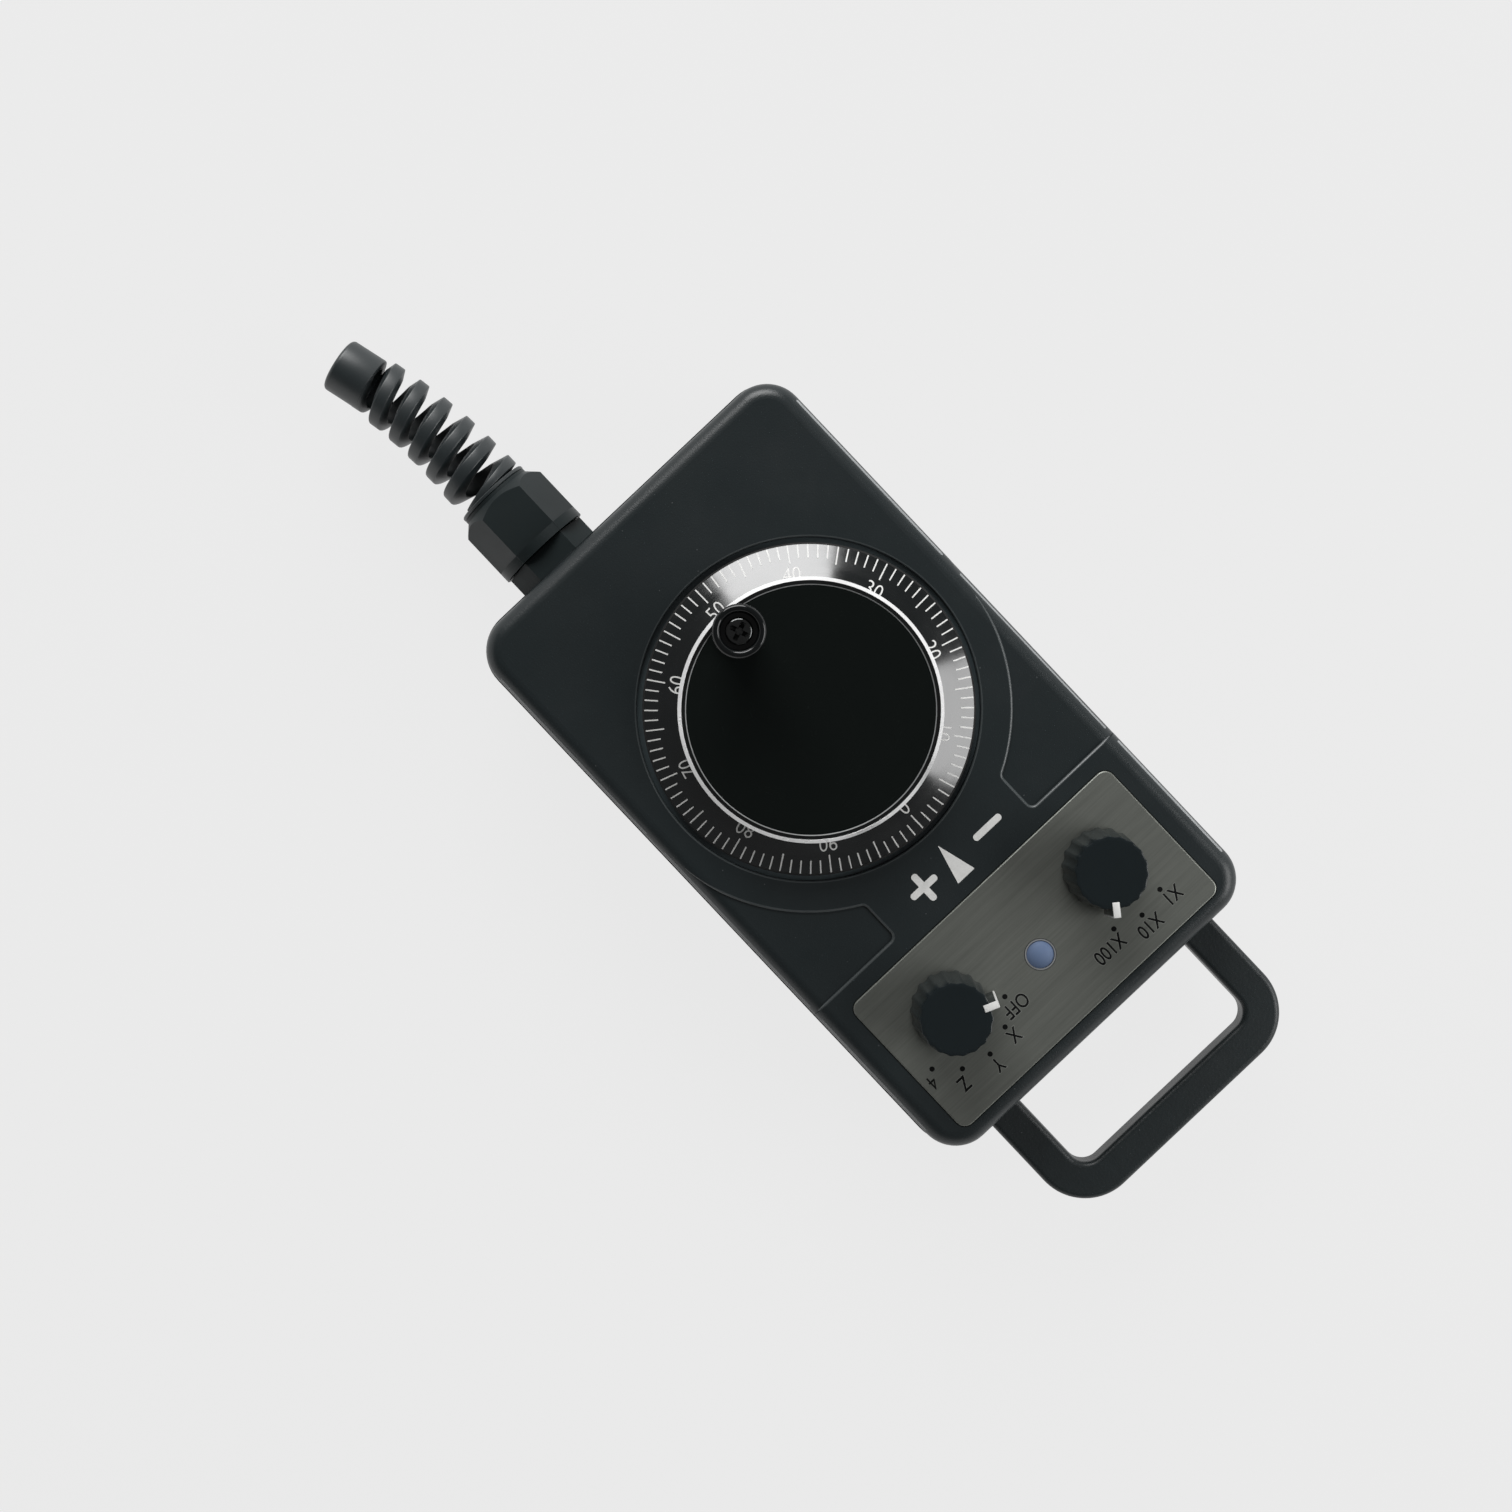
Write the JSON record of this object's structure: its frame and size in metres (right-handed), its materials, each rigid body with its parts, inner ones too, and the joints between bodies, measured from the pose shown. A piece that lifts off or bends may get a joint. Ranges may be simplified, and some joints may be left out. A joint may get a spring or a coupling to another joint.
{
  "type": "pulse generator handwheel",
  "caption": "Hand-held pulse generator: graduated handwheel with a crank grip, two selector knobs and an indicator on a moulded case with a hanger loop and a spiral bend guard.",
  "frame": {"origin": "on the flat back, under the handwheel's axis", "axes": "+Z out of the face along the handwheel's axis, +Y along the case towards the hanger loop, +X to the right seen from the front"},
  "size_m": [0.0758, 0.2132, 0.0584],
  "materials": {
    "housing": "satin near-black moulded housing with a fine texture",
    "loop_plastic": "matte moulded near-black",
    "gland_nylon": "satin black nylon",
    "seal_rubber": "dull black rubber",
    "plate_metal": "brushed along X, with engraved black marks",
    "plated_steel": "bright zinc or nickel plate",
    "lamp_lens": "pale bluish unlit indicator lens",
    "gloss_black": "gloss black with white marks on the cone",
    "anodised_disc": "black anodised, with a diamond-cut rim",
    "insert_black": "flat deep black",
    "knob_plastic": "matte charcoal",
    "pointer_white": "matte white inlay",
    "encoder_plastic": "moulded black, out of sight",
    "board_green": "green board laminate and terminal blocks"
  },
  "bodies": {
    "case": {"front_shell": "housing", "rear_shell": "housing", "case_gasket": "seal_rubber", "case_screws": "plated_steel", "hanger_loop": "loop_plastic", "loop_screws": "plated_steel", "label_plate": "plate_metal", "indicator_holder": "plated_steel", "indicator_lens": "lamp_lens", "shaft_bearings": "plated_steel", "detent_spring": "plated_steel", "encoder_cup": "encoder_plastic", "encoder_screws": "plated_steel", "encoder_board": "board_green", "encoder_sensor": "encoder_plastic", "encoder_terminals": "board_green", "axis_switch": "encoder_plastic", "axis_switch_nut": "plated_steel", "multiplier_switch": "encoder_plastic", "multiplier_switch_nut": "plated_steel", "main_board": "board_green", "board_screws": "plated_steel", "board_terminals": "board_green", "gland_body": "gland_nylon", "gland_lock_nut": "gland_nylon", "gland_seal": "seal_rubber", "gland_nut": "gland_nylon", "bend_guard": "gland_nylon"},
    "wheel": {"scale_ring": "gloss_black", "wheel_disc": "anodised_disc", "wheel_insert": "insert_black", "wheel_screw": "plated_steel", "wheel_shaft": "plated_steel", "code_disc": "plated_steel", "detent_wheel": "plated_steel", "crank_screw": "plated_steel", "crank_washer": "plated_steel"},
    "crank": {"crank_grip": "gloss_black"},
    "axis_selector": {"axis_knob": "knob_plastic", "axis_pointer": "pointer_white", "axis_shaft": "plated_steel"},
    "multiplier_selector": {"multiplier_knob": "knob_plastic", "multiplier_pointer": "pointer_white", "multiplier_shaft": "plated_steel"}
  },
  "joints": [
    {"name": "wheel_spin", "type": "hinge", "parent": "case", "child": "wheel", "pos_m": [0, 0, 0.033], "axis": [0, 0, 1], "continuous": true},
    {"name": "crank_spin", "type": "hinge", "parent": "wheel", "child": "crank", "pos_m": [0, -0.01885, 0.0425], "axis": [0, 0, 1], "continuous": true},
    {"name": "axis_select", "type": "hinge", "parent": "case", "child": "axis_selector", "pos_m": [0.0187, 0.0568, 0.035], "axis": [0, 0, 1], "range_deg": [-120, 0]},
    {"name": "multiplier_select", "type": "hinge", "parent": "case", "child": "multiplier_selector", "pos_m": [-0.0187, 0.0568, 0.035], "axis": [0, 0, 1], "range_deg": [0, 60]}
  ]
}
